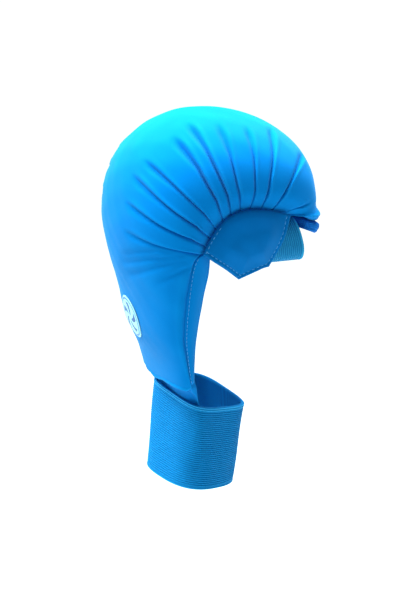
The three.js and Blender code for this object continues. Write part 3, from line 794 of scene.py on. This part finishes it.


# Polyurethane-coated leather cloth, embossed: a satin film over a soft backing. Its colour has painted shade
# where it is pressed in and a painted highlight on raised edges, both read from the fold attribute. Its fine
# grain of 0.8 mm is drawn coarser than the real 0.3 mm so that it shows. The gloss is low, because the white
# studio all round would veil the blue.
def polyurethane_leather(name, colour, deep_colour, highlight_colour, roughness):
    made, tree = new_material(name)
    place = node(tree, "TexCoord").outputs["Object"]
    grain = node(tree, "TexVoronoi", {"Vector": place, "Scale": cell_scale(0.8)}, feature="SMOOTH_F1")
    skin = node(tree, "TexNoise", {
        "Vector": place, "Scale": cell_scale(2.38), "Detail": 4.0, "Roughness": 0.6,
    })
    tone = node(tree, "TexNoise", {
        "Vector": place, "Scale": cell_scale(26.3), "Detail": 3.0, "Roughness": 0.55,
    })
    fold = node(tree, "Attribute", attribute_name="fold").outputs["Fac"]
    # Painted shade where the fold attribute says the cover is pressed in, painted highlight where it is
    # raised.
    pressed_in = node(tree, "MapRange", {"Value": fold, "From Min": 0.05, "From Max": 0.9, "To Max": 0.75})
    raised = node(tree, "MapRange", {"Value": fold, "From Min": -0.02, "From Max": -0.25, "To Max": 0.5})
    mottle = node(tree, "MapRange", {
        "Value": tone.outputs["Fac"], "From Min": 0.35, "From Max": 0.7, "To Max": 0.22,
    })
    base = node(tree, "Mix", {
        0: mottle.outputs[0], 6: srgb(colour), 7: srgb(deep_colour),
    }, data_type="RGBA")
    # Painted shade: darker towards deep_colour in creases and hollows.
    pressed = node(tree, "Mix", {
        0: pressed_in.outputs[0], 6: base.outputs[2], 7: srgb(deep_colour),
    }, data_type="RGBA")
    # Painted highlight: paler on raised edges and puffs.
    highlighted = node(tree, "Mix", {
        0: raised.outputs[0], 6: pressed.outputs[2], 7: srgb(highlight_colour),
    }, data_type="RGBA")
    rough = node(tree, "MapRange", {
        "Value": skin.outputs["Fac"], "From Min": 0.3, "From Max": 0.7,
        "To Min": roughness - 0.05, "To Max": roughness + 0.06,
    })
    height = node(tree, "Math", {0: grain.outputs["Distance"], 1: skin.outputs["Fac"]}, operation="ADD")
    bump = node(tree, "Bump", {"Strength": 0.1, "Distance": 0.3 * MM, "Height": height.outputs[0]})
    shader = node(tree, "BsdfPrincipled", {
        "Base Color": highlighted.outputs[2], "Roughness": rough.outputs[0], "Normal": bump.outputs[0],
        "IOR": 1.5, "Specular IOR Level": 0.002, "Specular Tint": srgb("#89e7ff"),
        "Sheen Weight": 0.1, "Sheen Roughness": 0.5, "Sheen Tint": srgb("#b4f0ff"),
    })
    node(tree, "OutputMaterial", {"Surface": shader.outputs[0]})
    return made


# Woven elastic webbing: polyester yarn over rubber threads. The rib is the piece's own, about 1.5 mm a rib,
# and its height in the attribute gives the tone, with painted shade in the grooves between the ribs. The
# yarn crosses the ribs every 0.9 mm, at a slant.
def woven_elastic(name, colour, groove_colour, cord_colour, around_mm):
    yarn_mm, slant_radians = 0.9, 260.0
    made, tree = new_material(name)
    uv = node(tree, "UVMap", uv_map="UVMap").outputs[0]
    parts = node(tree, "SeparateXYZ", {0: uv})
    place = node(tree, "TexCoord").outputs["Object"]
    rib = node(tree, "Attribute", attribute_name="fold").outputs["Fac"]
    yarn = node(tree, "Math", {
        0: parts.outputs["X"], 1: 2 * math.pi * round(around_mm / yarn_mm),
    }, operation="MULTIPLY")
    slant = node(tree, "Math", {
        0: parts.outputs["Y"], 1: slant_radians, 2: yarn.outputs[0],
    }, operation="MULTIPLY_ADD")
    yarn_wave = node(tree, "Math", {0: slant.outputs[0]}, operation="SINE")
    fuzz = node(tree, "TexNoise", {"Vector": place, "Scale": cell_scale(0.909), "Detail": 3.0})
    band = node(tree, "TexNoise", {"Vector": place, "Scale": cell_scale(16.7), "Detail": 2.0})
    weave = node(tree, "Math", {0: yarn_wave.outputs[0], 1: 0.22, 2: rib}, operation="MULTIPLY_ADD")
    cloth = node(tree, "Math", {
        0: fuzz.outputs["Fac"], 1: 0.5, 2: weave.outputs[0],
    }, operation="MULTIPLY_ADD")
    top = node(tree, "MapRange", {"Value": cloth.outputs[0], "From Min": 0.3, "From Max": 1.15})
    # Painted shade: darker towards groove_colour where the ribs sink, mixed with the yarn's own weave.
    ribbed = node(tree, "Mix", {
        0: top.outputs[0], 6: srgb(groove_colour), 7: srgb(colour),
    }, data_type="RGBA")
    uneven = node(tree, "MapRange", {
        "Value": band.outputs["Fac"], "From Min": 0.3, "From Max": 0.7, "To Max": 0.25,
    })
    toned = node(tree, "Mix", {
        0: uneven.outputs[0], 6: ribbed.outputs[2], 7: srgb(groove_colour),
    }, data_type="RGBA")
    cord = node(tree, "MapRange", {"Value": rib, "From Min": 1.05, "From Max": 1.45})
    corded = node(tree, "Mix", {
        0: cord.outputs[0], 6: toned.outputs[2], 7: srgb(cord_colour),
    }, data_type="RGBA")
    bump = node(tree, "Bump", {"Strength": 0.4, "Distance": 0.3 * MM, "Height": cloth.outputs[0]})
    shader = node(tree, "BsdfPrincipled", {
        "Base Color": corded.outputs[2], "Roughness": 0.8, "Normal": bump.outputs[0],
        "Specular IOR Level": 0.25, "Specular Tint": srgb("#89e7ff"),
    })
    node(tree, "OutputMaterial", {"Surface": shader.outputs[0]})
    return made


# Knitted polyester lining: matt and soft, in fine wales of about 1.1 mm and courses of about 1.4 mm.
def knitted_lining(name, colour, deep_colour):
    made, tree = new_material(name)
    place = node(tree, "TexCoord").outputs["Object"]
    wales = node(tree, "TexWave", {
        "Vector": place, "Scale": band_scale(1.083), "Distortion": 1.2, "Detail": 2.0, "Detail Scale": 3.0,
    }, bands_direction="Y")
    courses = node(tree, "TexWave", {
        "Vector": place, "Scale": band_scale(1.366), "Distortion": 1.5, "Detail": 1.0,
    }, bands_direction="Z")
    fuzz = node(tree, "TexNoise", {"Vector": place, "Scale": cell_scale(1.43), "Detail": 4.0})
    knit = node(tree, "Math", {0: wales.outputs["Fac"], 1: courses.outputs["Fac"]}, operation="MULTIPLY")
    cloth = node(tree, "Math", {0: knit.outputs[0], 1: fuzz.outputs["Fac"]}, operation="ADD")
    shade = node(tree, "MapRange", {
        "Value": cloth.outputs[0], "From Min": 0.3, "From Max": 1.3, "To Min": 1.0, "To Max": 0.0,
    })
    mixed = node(tree, "Mix", {
        0: shade.outputs[0], 6: srgb(colour), 7: srgb(deep_colour),
    }, data_type="RGBA")
    bump = node(tree, "Bump", {"Strength": 0.4, "Distance": 0.4 * MM, "Height": cloth.outputs[0]})
    shader = node(tree, "BsdfPrincipled", {
        "Base Color": mixed.outputs[2], "Roughness": 0.9, "Normal": bump.outputs[0],
        "Specular IOR Level": 0.1, "Sheen Weight": 0.15, "Sheen Roughness": 0.6,
        "Sheen Tint": srgb("#3a8ae0"),
    })
    node(tree, "OutputMaterial", {"Surface": shader.outputs[0]})
    return made


# Twisted polyester sewing thread: a soft gloss on fine slanted plies of 0.4 mm.
def sewing_thread(name, colour, deep_colour):
    made, tree = new_material(name)
    place = node(tree, "TexCoord").outputs["Object"]
    # At the same Scale, diagonal bands are 2 / sqrt(3) times as wide as straight ones.
    plies = node(tree, "TexWave", {
        "Vector": place, "Scale": band_scale(0.403) * 2 / math.sqrt(3), "Distortion": 0.5,
    }, bands_direction="DIAGONAL")
    mixed = node(tree, "Mix", {
        0: plies.outputs["Fac"], 6: srgb(deep_colour), 7: srgb(colour),
    }, data_type="RGBA")
    bump = node(tree, "Bump", {"Strength": 0.4, "Distance": 0.2 * MM, "Height": plies.outputs["Fac"]})
    shader = node(tree, "BsdfPrincipled", {
        "Base Color": mixed.outputs[2], "Roughness": 0.5, "Normal": bump.outputs[0], "Sheen Weight": 0.2,
    })
    node(tree, "OutputMaterial", {"Surface": shader.outputs[0]})
    return made


# Screen-printed polyurethane film: a pale round with a soft gloss, a blue rim and a plain pinwheel of five
# curved blades.
def printed_film(name, pale, faded_pale, ink, rim_ink):
    blades_round, blade_twist = 5, 6.5
    blades_from, blades_to, ring_at = 0.16, 0.72, 0.87
    made, tree = new_material(name)
    uv = node(tree, "UVMap", uv_map="UVMap").outputs[0]
    parts = node(tree, "SeparateXYZ", {0: uv})
    # The first half of the way over the film's section is its face, from the middle to the rim.
    radius = node(tree, "Math", {0: parts.outputs["Y"], 1: 2.0}, operation="MULTIPLY")
    angle = node(tree, "Math", {
        0: parts.outputs["X"], 1: 2 * math.pi * blades_round,
    }, operation="MULTIPLY")
    twist = node(tree, "Math", {
        0: radius.outputs[0], 1: blade_twist, 2: angle.outputs[0],
    }, operation="MULTIPLY_ADD")
    blade = node(tree, "Math", {0: twist.outputs[0]}, operation="SINE")
    blade_ink = node(tree, "MapRange", {"Value": blade.outputs[0], "From Min": 0.15, "From Max": 0.3})
    inside = node(tree, "MapRange", {
        "Value": radius.outputs[0], "From Min": blades_to, "From Max": blades_to - 0.02,
    })
    clear = node(tree, "MapRange", {
        "Value": radius.outputs[0], "From Min": blades_from, "From Max": blades_from + 0.03,
    })
    window = node(tree, "Math", {0: inside.outputs[0], 1: clear.outputs[0]}, operation="MULTIPLY")
    blades = node(tree, "Math", {0: blade_ink.outputs[0], 1: window.outputs[0]}, operation="MULTIPLY")
    off_ring = node(tree, "Math", {0: radius.outputs[0], 1: ring_at}, operation="SUBTRACT")
    ring_way = node(tree, "Math", {0: off_ring.outputs[0]}, operation="ABSOLUTE")
    ring = node(tree, "MapRange", {"Value": ring_way.outputs[0], "From Min": 0.045, "From Max": 0.03})
    place = node(tree, "TexCoord").outputs["Object"]
    tone = node(tree, "TexNoise", {"Vector": place, "Scale": cell_scale(3.85), "Detail": 3.0})
    faded = node(tree, "Mix", {
        0: tone.outputs["Fac"], 6: srgb(pale), 7: srgb(faded_pale),
    }, data_type="RGBA")
    inked = node(tree, "Mix", {
        0: blades.outputs[0], 6: faded.outputs[2], 7: srgb(ink),
    }, data_type="RGBA")
    ringed = node(tree, "Mix", {
        0: ring.outputs[0], 6: inked.outputs[2], 7: srgb(rim_ink),
    }, data_type="RGBA")
    bump = node(tree, "Bump", {"Strength": 0.15, "Distance": 0.2 * MM, "Height": blades.outputs[0]})
    shader = node(tree, "BsdfPrincipled", {
        "Base Color": ringed.outputs[2], "Roughness": 0.32, "Specular IOR Level": 0.1,
        "Normal": bump.outputs[0],
    })
    node(tree, "OutputMaterial", {"Surface": shader.outputs[0]})
    return made


# Matt painted board, for the floor under the mitt, with a faint change of tone over about 0.3 m.
def painted_board():
    made, tree = new_material("matt_white_board")
    place = node(tree, "TexCoord").outputs["Object"]
    tone = node(tree, "TexNoise", {"Vector": place, "Scale": cell_scale(333)})
    mixed = node(tree, "Mix", {
        0: tone.outputs["Fac"], 6: srgb("#f4f1ee"), 7: srgb("#f0edea"),
    }, data_type="RGBA")
    shader = node(tree, "BsdfPrincipled", {
        "Base Color": mixed.outputs[2], "Roughness": 0.9, "Specular IOR Level": 0.1,
    })
    node(tree, "OutputMaterial", {"Surface": shader.outputs[0]})
    return made


# The mitt
leather = polyurethane_leather("polyurethane_leather_bright_blue", "#0076c2", "#005ea8", "#0a8cd4", 0.42)
# The guard takes the same leather in darker colours: painted shade, as the guard faces down and away from
# the light.
guard_leather = polyurethane_leather(
    "polyurethane_leather_painted_shade_blue", "#0062a6", "#005292", "#0a7cc4", 0.45
)
elastic = woven_elastic("woven_elastic_blue", "#0884c6", "#0462a0", "#46b6ee", 200)
loop_elastic = woven_elastic("woven_elastic_teal_shaded", "#2288b8", "#0a5f98", "#2c98c8", 103)
lining = knitted_lining("knitted_lining_dark_blue", "#0e6cc2", "#0a54a2")
thread = sewing_thread("polyester_thread_light_blue", "#2c98dc", "#187cc4")
film = printed_film("printed_film_pale", "#a8dbe8", "#9ad0e0", "#065098", "#0f68b4")


def dress(obj, materials, node_names=()):
    """Gives a piece its materials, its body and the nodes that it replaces."""
    for material in materials:
        obj.data.materials.append(material)
    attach(obj, "root")
    if node_names:
        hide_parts(*node_names)
    return obj


cover = dress(padded_cover(), [leather, lining], ["padded_shell"])

near_gusset = dress(
    side_gusset("thumb_side_gusset_strip", -1), [leather], ["thumb_side_gusset"]
)
far_gusset = dress(
    side_gusset("outer_side_gusset_strip", 1), [leather], ["outer_side_gusset"]
)

guard = dress(thumb_guard(), [guard_leather, lining], ["thumb_guard"])

loop = dress(thumb_loop(), [loop_elastic], ["thumb_loop"])
sleeve = dress(finger_sleeve(), [lining], ["finger_sleeve"])
cuff = dress(wrist_cuff(), [elastic], ["wrist_cuff"])
dress(back_badge(), [film], ["back_badge"])

seam_rows = []
for sign in (-1, 1):
    line, normals = side_seam_line(sign, 0.028)
    seam_rows.append(dict(line=line, normals=normals, pitch=2.9, length=2.1, radius=0.24))
dress(thread_piece("side_seam_stitches", seam_rows), [thread])

guard_rows = []
for edge, low, high, inset in GUARD_STITCHES:
    line, normals = guard_line(edge, low, high, inset)
    guard_rows.append(dict(line=line, normals=normals, pitch=3.5, length=2.3, radius=0.26))
dress(thread_piece("thumb_guard_stitches", guard_rows), [thread])

# Studio, in metres. The mitt is held up, so the floor lies well below it.
FLOOR_Z = -0.42
MIDDLE = (0.01, 0.0, 0.14)
EYE, EYE_AIM = (-0.4174, -1.0471, 0.4226), (0.01474, 0.02246, 0.09185)

bm = bmesh.new()
bmesh.ops.create_grid(bm, x_segments=2, y_segments=2, size=20)
bmesh.ops.translate(bm, verts=bm.verts, vec=(0, 0, FLOOR_Z))
floor = finished("studio_floor", bm)
floor.data.materials.append(painted_board())

# The studio's walls look white, and give a dimmer and bluer light.
world = bpy.data.worlds.new("studio_world")
world.use_nodes = True
seen = node(world.node_tree, "LightPath")
walls = node(world.node_tree, "Mix", {
    0: seen.outputs["Is Camera Ray"], 6: (0.22, 0.335, 0.375, 1), 7: (1, 1, 1, 1),
}, data_type="RGBA")
world.node_tree.links.new(walls.outputs[2], world.node_tree.nodes["Background"].inputs["Color"])
bpy.context.scene.world = world


def aimed(name, data, place, aim):
    """Puts a light or camera in its place, turned to what it aims at."""
    obj = bpy.data.objects.new(name, data)
    obj.location = place
    obj.rotation_euler = (Vector(aim) - Vector(place)).to_track_quat("-Z", "Y").to_euler()
    bpy.context.scene.collection.objects.link(obj)
    return obj


key = bpy.data.lights.new("soft_key", "SUN")
key.energy, key.color, key.angle = 3.65, (1, 0.98, 0.96), math.radians(30)
aimed("soft_key", key, (-0.62, 0.12, 1.05), MIDDLE)

softbox = bpy.data.lights.new("top_softbox", "AREA")
softbox.energy, softbox.color = 36, (0.6, 0.97, 1)
softbox.shape, softbox.size, softbox.size_y = "RECTANGLE", 1.2, 0.7
aimed("top_softbox", softbox, (0.05, 0.22, 0.85), MIDDLE)

camera = bpy.data.cameras.new("photo_camera")
camera.lens, camera.sensor_width = 102.69, 36
bpy.context.scene.camera = aimed("photo_camera", camera, EYE, EYE_AIM)
bpy.context.scene.view_settings.view_transform = "Standard"
